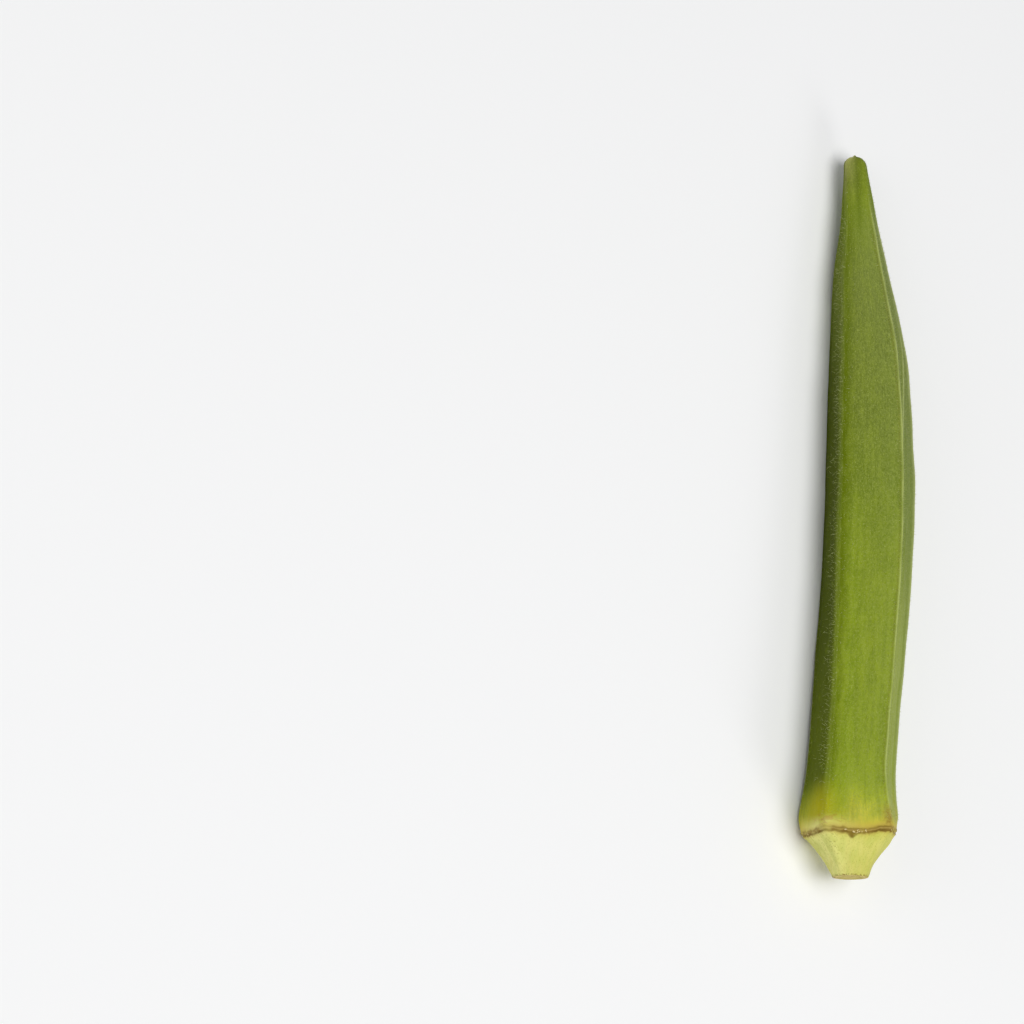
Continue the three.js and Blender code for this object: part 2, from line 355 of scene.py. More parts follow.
class PodSkin:
    """Rings of points from the cut rim to the tip, and what lies where on them."""

    def __init__(self):
        ring = ring_places()
        start = np.stack([path(ring) for path in ridge_paths], axis=1)
        end = np.roll(start, -1, axis=1)
        end[:, -1] += TURN
        step = np.arange(STEPS_PER_FACE) / STEPS_PER_FACE
        crowded = (1 - np.cos(math.pi * step)) / 2
        across = (1 - RIDGE_CROWDING) * step + RIDGE_CROWDING * crowded
        angle = start[:, :, None] + (end - start)[:, :, None] * across
        to_ridge = np.minimum(angle - start[:, :, None], end[:, :, None] - angle)
        ridge = np.arange(len(RIDGES))[:, None]
        even = (ridge + across) * TURN / len(RIDGES)
        nearest = np.where(across < 0.5, ridge, 1 + ridge).reshape(-1) % len(RIDGES)

        self.middle = (start + end) / 2
        self.apothem = np.cos((end - start) / 2)
        self.distance = ring[:, None]
        self.angle = angle.reshape(len(ring), -1)
        self.to_ridge = to_ridge.reshape(len(ring), -1)
        self.to_middle = np.abs(angle - self.middle[:, :, None]).reshape(len(ring), -1)
        self.even_angle = even.reshape(-1)
        self.crest_share = np.array(CREST_SHARES)[nearest]
        self.rib_share = np.array(RIB_SHARES)[nearest]

        self.plain = self.plain_radius()
        self.thickness = smoothstep(self.plain, THIN, THICK)
        self.on_body = rising(self.distance, *RIBS_RISE) * self.thickness
        self.ribbed = self.on_body * fading(self.distance, *RIBS_SINK)
        self.near_tip = rising(self.distance, *CREASES_DEEPEN) * self.thickness
        self.radius = self.plain + self.body_relief() + self.scar_relief() + self.cap_relief()

    def plain_radius(self):
        """Five faces that meet in rounded ridges, rounder in the cap and the tip."""
        total = 0
        for face in range(len(RIDGES)):
            facing = np.maximum(np.cos(self.angle - self.middle[:, [face]]), 0)
            total = total + (facing / self.apothem[:, [face]]) ** RIDGE_SHARPNESS
        ridged = total ** (-1 / RIDGE_SHARPNESS) / RIDGED_HALF_WIDTH
        into_tip = np.clip((self.distance - POD_LENGTH + TIP_ROUND) / TIP_ROUND, 0, 1)
        narrowing = (1 - into_tip ** TIP_BLUNTNESS) ** (1 / TIP_BLUNTNESS)
        roundness = roundness_at(self.distance)
        half_width = half_width_at(self.distance) * narrowing
        return half_width * (ridged * (1 - roundness) + roundness)

    def past_ridge(self, ridge):
        """How far round each point is past a ridge, in mm."""
        return self.plain * turn_between(ridge_paths[ridge](self.distance), self.angle)

    def second_rib(self):
        """The thin rib that forks off the top ridge, from 0 beside it to 1 on it."""
        distance = self.distance
        rib = hump(self.plain * (self.angle - second_rib_at(distance)), SECOND_RIB_HALF_WIDTH)
        return rib * rising(distance, *SECOND_RIB_RISES) * fading(distance, *SECOND_RIB_SINKS)

    def body_relief(self):
        """Ribs, the hollows beside them, creases near the tip, and the faces' uneven growth."""
        distance, angle = self.distance, self.angle
        from_ridge = self.plain * self.to_ridge
        rib = hump(from_ridge, RIB_HALF_WIDTH) * self.ribbed * self.rib_share
        crest = hump(from_ridge, CREST_HALF_WIDTH) * self.ribbed * self.crest_share
        valley = hump(from_ridge - VALLEY_FROM_RIDGE, VALLEY_HALF_WIDTH) * self.ribbed
        crease = hump(self.plain * self.to_middle, CREASE_HALF_WIDTH) * self.near_tip
        second = self.second_rib()
        growth = FACE_SWELLING * swelling(angle, distance) + FACE_GRAIN * grain(angle, distance)
        return (RIB_HEIGHT * rib + CREST_HEIGHT * crest - VALLEY_DEPTH * valley
                - CREASE_DEPTH * crease + SECOND_RIB_HEIGHT * second + growth * self.on_body)

    def from_lip(self):
        """How far each point is above the scar's ragged lip."""
        ragged = TORN_EDGE * (torn(self.angle) + torn_coarsely(self.angle))
        return self.distance - SCAR_AT - ragged

    def at_notch(self):
        """How near each point is to the notch, going round: 1 there, and fading beside it."""
        return hump(self.plain * turn_between(NOTCH_ANGLE, self.angle), NOTCH_HALF_WIDTH)

    def from_crack(self):
        """How far each point is above the crack, which dips at the notch."""
        return self.from_lip() + CRACK_BELOW_LIP + NOTCH_DEPTH * self.at_notch()

    def unevenly(self):
        """How much of the scar's lip and crack there is, round the pod."""
        share = LIP_SHARE + LIP_UNEVENNESS * torn_coarsely(self.angle + LIP_TURN)
        return np.clip(share, LIP_LEAST, LIP_MOST)

    def scar_relief(self):
        """The torn lip that the calyx left, with a crack under it and a lower lip under that."""
        lip = hump(self.from_lip(), LIP_HALF_WIDTH) * self.unevenly()
        crack = hump(self.from_crack(), CRACK_HALF_WIDTH) * self.unevenly()
        lower = hump(self.from_crack() + LOWER_LIP_BELOW_CRACK, LOWER_LIP_HALF_WIDTH)
        return LIP_HEIGHT * lip - CRACK_DEPTH * crack + LOWER_LIP_HEIGHT * lower

    def cap_relief(self):
        """Shallow flutes and lumps down the cap, and the shoulder on one side of it."""
        distance, angle = self.distance, self.angle
        on_cap = fading(distance, *FLUTES_FADE)
        shoulder = hump(distance - SHOULDER_AT, SHOULDER_LENGTH)
        shoulder = shoulder * hump(turn_between(SHOULDER_ANGLE, angle), SHOULDER_SPREAD)
        flute = CAP_FLUTE * np.cos(CAP_FLUTES * angle)
        lump = CAP_LUMP * cap_lumps(angle, distance)
        return (flute + lump) * on_cap + SHOULDER_HEIGHT * shoulder

    def points(self):
        """Every point, with the scar ring's wave, the cut's lean and the flat underside."""
        distance, angle, radius = self.distance, self.angle, self.radius
        ridge_wave = SCAR_WAVE * np.cos(len(RIDGES) * self.to_ridge)
        tilt = SCAR_TILT * np.cos(angle - SCAR_LOW_SIDE)
        scar_shift = (ridge_wave - tilt) * hump(distance - SCAR_AT, SCAR_REACH)
        leaning = radius * np.cos(angle - CUT_LEAN_TOWARDS) * math.tan(CUT_LEAN)
        cut_shift = leaning * fading(distance, 0, SCAR_AT)
        nub = NUB_HEIGHT * hump(radius, NUB_HALF_WIDTH) * (distance > POD_LENGTH - TIP_ROUND)
        x = bow_at(distance) + radius * np.sin(angle)
        y = distance + scar_shift + cut_shift + nub
        z = np.maximum(lie_at(distance) + radius * np.cos(angle), 0)
        return np.stack([x, y, z], axis=-1)

    def grown_straight(self):
        """Where each point would be on a straight pod with even faces, for the skin's grain."""
        x = GRAIN_RADIUS * np.sin(self.even_angle)
        z = GRAIN_RADIUS * np.cos(self.even_angle)
        return np.stack(np.broadcast_arrays(x, self.distance, z), axis=-1)

    def marks(self):
        """Where on the skin each colour, each kind of hair and the flakes lie, and how far each
        point is from the cut end and from the scar, by name."""
        marks = (self.stripes_and_faces() | self.skin_marks() | self.scar_marks()
                 | self.growth_marks())
        return {name: np.broadcast_to(mark, self.angle.shape) for name, mark in marks.items()}

    def stripes_and_faces(self):
        """The colours along single ridges and on single faces, with painted shade on the face
        below the side ridge and a painted highlight along the far ridge.
        """
        marks = {}
        from_scar = self.distance - SCAR_AT
        for stripes, along in ((SCAR_STRIPES, from_scar), (RIB_STRIPES, self.distance)):
            for name, (ridge, middle, half_width, rise, fade) in stripes.items():
                stripe = hump(self.past_ridge(ridge) - middle, half_width)
                marks[name] = stripe * rising(along, *rise) * fading(along, *fade)
        for name, (ridge, rise_past, fade_past, rise, fade) in FACE_COLOURS.items():
            past = self.past_ridge(ridge)
            face = rising(past, *rise_past) * fading(past, *fade_past)
            marks[name] = face * rising(self.distance, *rise) * fading(self.distance, *fade)
        best = hump(self.distance - FRESH_BAND_BEST_AT, FRESH_BAND_REACH)
        marks["fresh_band"] = marks["fresh_band"] * (FRESH_BAND_SHARE + FRESH_BAND_EXTRA * best)
        return marks

    def skin_marks(self):
        """The colours all round the green skin, and those of its ribs, creases and tip, with
        painted shade in the creases and on the tip's side towards -X.
        """
        distance, angle = self.distance, self.angle
        from_scar = distance - SCAR_AT
        bloom = (0.5 + 0.5 * np.cos(angle - GREYISH_CAST_SIDE)) * self.on_body
        bloom = bloom * rising(distance, *UPPER_HALF, GREYISH_CAST_BELOW)
        crest = hump(self.plain * self.to_ridge, CREST_PALE_HALF_WIDTH) * self.crest_share
        paleness = CREST_PALENESS + CREST_WEAR * rib_wear(angle, distance)
        tip_darkness_and_shade = TIP_DARK_ALL_ROUND - TIP_PAINTED_SHADE_TO_SIDE * np.sin(angle)
        crease = hump(self.plain * self.to_middle, CREASE_SHADE_HALF_WIDTH)
        return {
            "body": rising(from_scar, *BODY_RISES),
            "bloom": bloom * fading(distance, *GREYISH_CAST_FADES),
            "veined": self.on_body * fading(distance, *UPPER_HALF, VEINS_ABOVE),
            "rib": crest * self.ribbed * np.clip(paleness, CREST_LEAST_PALENESS, 1),
            "second_rib": self.second_rib(),
            "crease": crease * self.near_tip,
            "tip": rising(distance, *TIP_DARKENS) * np.clip(tip_darkness_and_shade, 0, 1),
            "dry_edge": rising(from_scar, *DRY_EDGE_RISES) * fading(from_scar, *DRY_EDGE_FADES),
        }

    def scar_marks(self):
        """The colours of the scar, the cap and the cut's rim, painted light on the cap's side
        towards -X, and what they are laid out by.
        """
        distance, angle = self.distance, self.angle
        ripening = RIPENING_SHIFT * uneven_ripening(angle)
        below_lip = -self.from_lip()
        below_crack = -self.from_crack()
        notch = self.at_notch() * rising(below_lip, *NOTCH_RISES)
        pale_side = hump(turn_between(CAP_PAINTED_LIGHT_SIDE, angle), CAP_PAINTED_LIGHT_SPREAD)
        return {
            "from_cut": distance + ripening * hump(distance - RIPENING_AT, RIPENING_REACH),
            "from_scar": self.from_lip(),
            "crack": CRACK_DARKNESS * hump(below_crack, CRACK_HALF_WIDTH) * self.unevenly(),
            "notch": notch * fading(below_crack, *NOTCH_FADES),
            "cap": rising(below_lip, *CAP_RISES),
            "cap_side": pale_side * (1 - self.on_body),
            "cut_edge": fading(distance, *CUT_EDGE_FADES),
        }

    def growth_marks(self):
        """Where hairs, down and flakes grow, from none to as close together as they come."""
        distance, angle = self.distance, self.angle
        height = lie_at(distance) + self.plain * np.cos(angle)
        off_floor = rising(height, *HAIRS_OFF_FLOOR)
        past_side = self.past_ridge(SIDE_RIDGE)
        by_ridge = hump(self.plain * self.to_ridge, RIDGE_HAIR_HALF_WIDTH) * self.ribbed
        ridge_share = RIDGE_HAIR_LEAST + (1 - RIDGE_HAIR_LEAST) * self.rib_share
        by_side = hump(past_side - SIDE_HAIR_PAST_RIDGE, SIDE_HAIR_HALF_WIDTH) * self.ribbed
        down = rising(distance - SCAR_AT, *DOWN_RISES) * self.thickness
        in_scar = hump(self.from_lip() + FLAKES_BELOW_LIP, FLAKES_HALF_WIDTH)
        hanging = hump(turn_between(FLAKES_ANGLE, angle), FLAKES_SPREAD)
        return {
            "ridge_hair": by_ridge * off_floor * ridge_share,
            "side_hair": by_side * off_floor * rising(distance, *SIDE_HAIR_RISES),
            "face_hair": down * off_floor * fading(-past_side, *DOWN_THINS),
            "flake": in_scar * (FEWEST_FLAKES + hanging),
        }


def cut_rings(rim):
    """Rings from the middle of the cut face to its rim, and the point in its middle."""
    middle = rim.mean(axis=0)
    rng = np.random.default_rng(CUT_SEED)
    rings = []
    for share in np.arange(1, CUT_STEPS) / CUT_STEPS:
        ring = middle + (rim - middle) * share
        hollow = PITH_HOLLOW * fading(share, PITH_SHARE - PITH_EDGE, PITH_SHARE + PITH_EDGE)
        vessels = VESSEL_HEIGHT * hump(share - VESSEL_SHARE, VESSEL_HALF_WIDTH)
        ring[:, 1] += hollow - vessels + rng.uniform(-1, 1, len(rim)) * CUT_ROUGHNESS
        rings.append(ring)
    return np.stack(rings), middle + np.array([0, PITH_HOLLOW, 0])


def closed_rings(rings, first, last):
    """Points and faces that join rings of points, closed by a fan to one point at each end."""
    count = rings.shape[1]
    index = np.arange(rings.shape[0] * count).reshape(rings.shape[0], count)
    after = np.roll(index, -1, axis=1)
    strips = np.stack([index[:-1], after[:-1], after[1:], index[1:]], axis=-1).reshape(-1, 4)
    start, end = index.size, index.size + 1
    first_fan = [(start, after[0, i], index[0, i]) for i in range(count)]
    last_fan = [(end, index[-1, i], after[-1, i]) for i in range(count)]
    points = np.concatenate([rings.reshape(-1, 3), [first], [last]])
    return points, first_fan + strips.tolist() + last_fan


def add_object(name, data):
    """An object in the scene, at the origin, for a mesh, a light or a camera."""
    thing = bpy.data.objects.new(name, data)
    bpy.context.scene.collection.objects.link(thing)
    return thing


def mesh_piece(name, points, faces, materials):
    """A piece at the origin from points in mm, shaded smooth, with its materials."""
    mesh = bpy.data.meshes.new(name)
    mesh.from_pydata((points * MM).tolist(), [], faces)
    mesh.shade_smooth()
    for material in materials:
        mesh.materials.append(material)
    return add_object(name, mesh)


def make_pod(skin_material, cut_material):
    """The whole pod as one closed skin, set in the box of its solid."""
    skin = PodSkin()
    points = skin.points()
    cut, pith = cut_rings(points[0])
    tip = np.array([bow_at(POD_LENGTH), POD_LENGTH + NUB_HEIGHT, lie_at(POD_LENGTH)])
    vertices, faces = closed_rings(np.concatenate([cut, points]), pith, tip)

    low, high = (np.array(corner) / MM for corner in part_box("okra_pod"))
    shift = (low + high - vertices.min(axis=0) - vertices.max(axis=0)) / 2
    shift[2] = low[2]
    piece = mesh_piece("pod_skin", vertices + shift, faces, [skin_material, cut_material])

    cut_faces = points.shape[1] * CUT_STEPS
    material_index = np.zeros(len(faces), dtype=np.int32)
    material_index[:cut_faces] = 1
    piece.data.polygons.foreach_set("material_index", material_index)
    keep_marks(piece, skin)
    return piece


def keep_marks(piece, skin):
    """Gives the pod's points their marks. Those of the cut face come first and have none, only
    their share of the way to its rim. The middle of the cut and the tip come last."""
    round_count = skin.angle.shape[1]
    shares = np.repeat(np.arange(1, CUT_STEPS) / CUT_STEPS, round_count)
    marks = {"cut_share": np.concatenate([shares, np.ones(skin.angle.size), [0, 1]])}
    for name, mark in skin.marks().items():
        marks[name] = np.concatenate([np.zeros(len(shares)), mark.ravel(), [0, 0]])
    marks["from_cut"][-1] = POD_LENGTH
    for name, mark in marks.items():
        attribute = piece.data.attributes.new(name, "FLOAT", "POINT")
        attribute.data.foreach_set("value", mark.astype(np.float32))

    ends = [[0, 0, 0], [0, POD_LENGTH, 0]]
    grown = [np.zeros((len(shares), 3)), skin.grown_straight().reshape(-1, 3), ends]
    attribute = piece.data.attributes.new("grown", "FLOAT_VECTOR", "POINT")
    attribute.data.foreach_set("vector", np.concatenate(grown).astype(np.float32).ravel())


# ---- Finishes ----

# A stop is a place, its colour and how much of it there is. These places are in mm along the
# pod: the pale cap, the yellow above the scar, and the green to the tip.
SKIN_COLOURS = (
    (0, "#d0ca6a", 1), (5.6, "#d8d472", 1), (8.5, "#cfc348", 1), (11.5, "#cdca3b", 1),
    (13.5, "#b2bd2a", 1), (16, "#91a413", 1), (24, "#7f930c", 1), (50, "#798c0d", 1),
    (68, "#667812", 1), (85, "#616f1e", 1), (104, "#65722b", 1), (118, "#758812", 1),
    (POD_LENGTH, "#7a8721", 1),
)
# These are in mm above the scar's lip: the crack below it, its dry tissue and its upper edge.
SCAR_COLOURS = (
    (-1.1, "#cbb95a", 0), (-0.8, "#b39c48", 0.45), (-0.6, "#927833", 0.85),
    (-0.42, "#826829", 0.95), (-0.25, "#8f7535", 0.95), (-0.08, "#a68c4a", 0.9),
    (0.12, "#8c7230", 0.9), (0.28, "#9a8138", 0.8), (0.5, "#b8a04c", 0.5), (1, "#c9b255", 0),
)
SCAR_WAVER = 0.3  # how far those bands waver, in mm
SCAR_DEPTHS = (("crack", "#6f5720"), ("notch", "#85702b"))
# The skin's noises: their grain in mm across and along the pod, and their detail. The fibre
# and the speck are coarser than the real skin's cells, which wouldn't show.
SKIN_GRAIN = {
    "patch": (1.8, 3.2, 2), "streak": (0.45, 2.2, 2), "fibre": (0.2, 0.6, 2),
    "mottle": (0.36, 0.42, 2), "speck": (0.2, 0.2, 1), "squiggle": (0.6, 0.4, 2),
    "vein": (0.8, 9, 2),
}
# What colours the skin, from the bottom up: stains, and painted shade and painted light. Each
# has where it is, the noise that breaks it up, the values of that noise with none and all of
# it, its strength, and its colour.
SKIN_STAINS_AND_PAINTED_LIGHT = (
    ("fresh_side", "patch", 0.1, 0.6, 0.6, "#80980a"),
    ("veined", "patch", 0.42, 0.62, 0.4, "#91a214"),
    ("body", "streak", 0.52, 0.68, 0.25, "#68790f"),
    ("veined", "vein", 0.5, 0.64, 0.35, "#6a7c0c"),
    ("veined", "vein", 0.5, 0.36, 0.35, "#98a830"),
    ("body", "fibre", 0.5, 0.68, 0.3, "#98a63c"),
    ("body", "mottle", 0.52, 0.7, 0.28, "#647512"),
    ("body", "mottle", 0.48, 0.34, 0.35, "#95a436"),
    ("bloom", "fibre", 0.15, 0.55, 0.42, "#98a45a"),
    ("outer_face", "patch", 0.1, 0.6, 0.5, "#6c7c32"),
    ("body", "speck", 0.6, 0.72, 0.4, "#b4be6e"),
    # painted shade on the face below the side ridge
    ("deep_side", "patch", 0, 0.4, 0.9, "#515c00"),
    ("dark_side", "patch", 0, 0.4, 0.5, "#3a4400"),
    ("fresh_band", "streak", 0.1, 0.5, 0.92, "#5c6c00"),
    # painted shade in the creases near the tip
    ("crease", "patch", 0.1, 0.5, 0.7, "#5a6d0a"),
    # darker green at the tip, with painted shade added on its side towards -X
    ("tip", "mottle", 0.25, 0.55, 0.75, "#4a5609"),
    ("brown_edge", "fibre", 0.35, 0.6, 0.5, "#6f6a1a"),
    ("pale_base", "vein", 0.2, 0.6, 0.6, "#a9b462"),
    # painted highlight along the far ridge
    ("pale_side", "mottle", 0.1, 0.6, 0.7, "#bcc486"),
    ("rib", "mottle", 0.1, 0.5, 0.95, "#b6c072"),
    ("second_rib", "mottle", 0.2, 0.55, 0.95, "#b6c07c"),
    ("dry_edge", "patch", 0.3, 0.6, 0.4, "#c2a540"),
    ("ripe_side", "patch", 0.1, 0.4, 0.95, "#aca600"),
    ("scorch", "squiggle", 0.53, 0.57, 0.8, "#a0740c"),
    ("smear", "patch", 0.15, 0.5, 0.6, "#a08844"),
    ("smear", "mottle", 0.4, 0.58, 0.6, "#8f7228"),
    # painted light on the cap's side towards -X
    ("cap_side", "patch", 0.1, 0.5, 0.9, "#f4f19a"),
    ("cap", "patch", 0.4, 0.62, 0.5, "#bfc65a"),
    ("cap", "streak", 0.5, 0.68, 0.15, "#e2df94"),
    ("cap", "mottle", 0.5, 0.68, 0.4, "#bcb850"),
    ("cap", "speck", 0.68, 0.74, 0.7, "#86852a"),
    ("cut_edge", "squiggle", 0.45, 0.56, 0.85, "#83692c"),
)


# A colour Mix node's sockets: how much of the upper colour there is, the lower and the upper
# colour, and what comes out.
MIX_AMOUNT = 0
MIX_LOWER = 6
MIX_UPPER = 7
MIX_RESULT = 2


def linear(hex_colour, strength=1):
    """An sRGB hex colour as linear RGBA."""
    values = [int(hex_colour[i:i + 2], 16) / 255 for i in (1, 3, 5)]
    rgb = [v / 12.92 if v <= 0.04045 else ((v + 0.055) / 1.055) ** 2.4 for v in values]
    return (*rgb, strength)


def add_node(tree, kind, inputs=None, **settings):
    """Adds a node with its settings. Each input gets a value, or a link from a socket."""
    node = tree.nodes.new(kind)
    for name, value in settings.items():
        setattr(node, name, value)
    for key, value in (inputs or {}).items():
        if isinstance(value, bpy.types.NodeSocket):
            tree.links.new(value, node.inputs[key])
        else:
            node.inputs[key].default_value = value
    return node


def new_material(name):
    """An empty material and its Principled shader."""
    material = bpy.data.materials.new(name)
    material.use_nodes = True
    tree = material.node_tree
    tree.nodes.clear()
    shader = add_node(tree, "ShaderNodeBsdfPrincipled")
    add_node(tree, "ShaderNodeOutputMaterial", {"Surface": shader.outputs["BSDF"]})
    return material, shader


def colours_by_place(tree, place, stops):
    """The Color at a place and how much of it there is, its Alpha, from stops in order."""
    low, high = stops[0][0], stops[-1][0]
    share = add_node(tree, "ShaderNodeMapRange", {
        "Value": place, "From Min": low, "From Max": high,
    })
    ramp = add_node(tree, "ShaderNodeValToRGB", {"Fac": share.outputs["Result"]})
    elements = ramp.color_ramp.elements
    while len(elements) < len(stops):
        elements.new(1)
    for element, (stop, colour, strength) in zip(elements, stops):
        element.position = (stop - low) / (high - low)
        element.color = linear(colour, strength)
    return ramp.outputs


def grain_noises(tree, place, grains):
    """A noise for each grain, stretched to its size in mm across and along the pod."""
    noises = {}
    for name, (across, along, detail) in grains.items():
        scale = (1 / across, 1 / along, 1 / across)
        stretched = add_node(tree, "ShaderNodeMapping", {"Vector": place, "Scale": scale})
        noise = add_node(tree, "ShaderNodeTexNoise", {
            "Vector": stretched.outputs["Vector"], "Scale": 1, "Detail": detail,
        })
        noises[name] = noise.outputs["Fac"]
    return noises


def lay_stains_and_painted_light(tree, ground, marks, noises, stains):
    """Lays stains, and on the skin painted shade and painted light too, over a ground colour,
    each where its mark and its noise allow.
    """
    for mark, noise, none, full, strength, colour in stains:
        broken_up = add_node(tree, "ShaderNodeMapRange", {
            "Value": noises[noise], "From Min": none, "From Max": full, "To Max": strength,
        })
        amount = add_node(tree, "ShaderNodeMath", {
            0: broken_up.outputs["Result"], 1: marks[mark],
        }, operation="MULTIPLY")
        ground = add_node(tree, "ShaderNodeMix", {
            MIX_AMOUNT: amount.outputs["Value"], MIX_LOWER: ground, MIX_UPPER: linear(colour),
        }, data_type="RGBA").outputs[MIX_RESULT]
    return ground


def scar_tissue(tree, skin, marks, noises):
    """Lays the scar's bands over the skin. They waver with a fine noise, and are worn away here
    and there. The crack and the notch in them are dark."""
    waver = add_node(tree, "ShaderNodeMapRange", {
        "Value": noises["squiggle"], "To Min": -SCAR_WAVER, "To Max": SCAR_WAVER,
    })
    place = add_node(tree, "ShaderNodeMath", {
        0: marks["from_scar"], 1: waver.outputs["Result"],
    }, operation="ADD")
    bands = colours_by_place(tree, place.outputs["Value"], SCAR_COLOURS)
    worn = add_node(tree, "ShaderNodeMapRange", {
        "Value": noises["patch"], "From Min": 0.35, "From Max": 0.5, "To Min": 0.55,
    })
    amount = add_node(tree, "ShaderNodeMath", {
        0: bands["Alpha"], 1: worn.outputs["Result"],
    }, operation="MULTIPLY")
    colour = add_node(tree, "ShaderNodeMix", {
        MIX_AMOUNT: amount.outputs["Value"], MIX_LOWER: skin, MIX_UPPER: bands["Color"],
    }, data_type="RGBA").outputs[MIX_RESULT]
    for mark, dark in SCAR_DEPTHS:
        colour = add_node(tree, "ShaderNodeMix", {
            MIX_AMOUNT: marks[mark], MIX_LOWER: colour, MIX_UPPER: linear(dark),
        }, data_type="RGBA").outputs[MIX_RESULT]
    return colour


def fresh_okra_skin():
    """Fresh okra skin: a living, waxy plant skin that grew in lengthwise cells under fine
    down. It is nearly matt, with faint lengthwise streaks, pale ribs and a dry scar. Painted
    shade and painted light are laid into its colours too."""
    material, shader = new_material("fresh_okra_skin")
    tree = material.node_tree
    marks = {}
    stain_and_light_marks = [row[0] for row in SKIN_STAINS_AND_PAINTED_LIGHT]
    for name in ("from_cut", "from_scar", "crack", "notch", *stain_and_light_marks):
        attribute = add_node(tree, "ShaderNodeAttribute", attribute_name=name)
        marks[name] = attribute.outputs["Fac"]
    grown = add_node(tree, "ShaderNodeAttribute", attribute_name="grown").outputs["Vector"]
    noises = grain_noises(tree, grown, SKIN_GRAIN)

    ground = colours_by_place(tree, marks["from_cut"], SKIN_COLOURS)["Color"]
    skin = lay_stains_and_painted_light(tree, ground, marks, noises, SKIN_STAINS_AND_PAINTED_LIGHT)
    colour = scar_tissue(tree, skin, marks, noises)
    roughness = add_node(tree, "ShaderNodeMapRange", {
        "Value": noises["mottle"], "From Min": 0.3, "From Max": 0.7, "To Min": 0.45, "To Max": 0.6,
    })
    texture = add_node(tree, "ShaderNodeMath", {
        0: noises["mottle"], 1: noises["fibre"],
    }, operation="ADD")
    bump = add_node(tree, "ShaderNodeBump", {
        "Height": texture.outputs["Value"], "Strength": 0.5, "Distance": 0.05 * MM,
    })
    tree.links.new(colour, shader.inputs["Base Color"])
    tree.links.new(roughness.outputs["Result"], shader.inputs["Roughness"])
    tree.links.new(bump.outputs["Normal"], shader.inputs["Normal"])
    shader.inputs["IOR"].default_value = 1.45
    shader.inputs["Specular IOR Level"].default_value = 0.04  # down scatters most of its shine
    return material


# The cut's colours, by the share of the way from its middle to its rim.
CUT_COLOURS = (
    (0, "#e6d584", 1), (0.4, "#e0ce7a", 1), (0.55, "#d0be60", 1), (0.68, "#c4b356", 1),
    (0.8, "#e2cc78", 1), (1, "#e4cf7e", 1),
)
CUT_GRAIN = {"fibre": (0.14, 0.14, 3), "patch": (0.9, 0.9, 2), "speck": (0.3, 0.3, 1)}
CUT_STAINS = (
    ("cut_share", "patch", 0.4, 0.7, 0.4, "#c0b06a"),
    ("cut_share", "fibre", 0.45, 0.65, 0.6, "#eadfa4"),
    ("cut_share", "speck", 0.62, 0.7, 0.6, "#8d7a3c"),
    ("rim", "patch", 0.42, 0.56, 0.8, "#84692b"),
)


def dried_cut_stem():
    """Cut stem, a few days dry: coarse, fibrous tan flesh that browns first at its rim. It is
    matt, and its torn fibres catch the light in specks."""
    material, shader = new_material("dried_cut_stem")
    tree = material.node_tree
    share = add_node(tree, "ShaderNodeAttribute", attribute_name="cut_share").outputs["Fac"]
    place = add_node(tree, "ShaderNodeTexCoord").outputs["Object"]
    place = add_node(tree, "ShaderNodeVectorMath", {
        0: place, "Scale": 1 / MM,
    }, operation="SCALE").outputs["Vector"]
    noises = grain_noises(tree, place, CUT_GRAIN)
    rim = add_node(tree, "ShaderNodeMapRange", {
        "Value": share, "From Min": 0.82, "From Max": 0.97,
    }).outputs["Result"]
    ground = colours_by_place(tree, share, CUT_COLOURS)["Color"]
    colour = lay_stains_and_painted_light(tree, ground, {"cut_share": share, "rim": rim}, noises, CUT_STAINS)
    bump = add_node(tree, "ShaderNodeBump", {
        "Height": noises["fibre"], "Strength": 0.8, "Distance": 0.12 * MM,
    })
    tree.links.new(colour, shader.inputs["Base Color"])
    tree.links.new(bump.outputs["Normal"], shader.inputs["Normal"])
    shader.inputs["Roughness"].default_value = 0.75
    shader.inputs["Specular IOR Level"].default_value = 0.3
    return material


def plant_hair(name, colour):
    """The short hairs of the skin: thin clear cells that look pale where light gets into
    them. They are drawn a little thicker than the real ones, which wouldn't show."""
    material, shader = new_material(name)
    shader.inputs["Base Color"].default_value = linear(colour)
    shader.inputs["Roughness"].default_value = 0.5
    return material


FLAKE_GRAIN = 0.4  # in mm
FLAKE_COLOURS = ((0, "#a98c46", 1), (0.5, "#d8c37a", 1), (1, "#efe4b8", 1))


def dry_scar_flake():
    """Papery flakes of the dead ring where the calyx fell off: thin, dry, pale and matt."""
    material, shader = new_material("dry_scar_flake")
    tree = material.node_tree
    place = add_node(tree, "ShaderNodeTexCoord").outputs["Object"]
    noise = add_node(tree, "ShaderNodeTexNoise", {
        "Vector": place, "Scale": 1 / (FLAKE_GRAIN * MM),
    })
    colour = colours_by_place(tree, noise.outputs["Fac"], FLAKE_COLOURS)["Color"]
    tree.links.new(colour, shader.inputs["Base Color"])
    shader.inputs["Roughness"].default_value = 0.7
    return material


def matt_white_board():
    """Painted board: matt and nearly white, which gives an even pale ground."""
    material, shader = new_material("matt_white_board")
    shader.inputs["Base Color"].default_value = linear("#f9f9f9")
    shader.inputs["Roughness"].default_value = 0.9
    shader.inputs["Specular IOR Level"].default_value = 0.2
    return material


# ---- Hairs and flakes, by Geometry Nodes ----

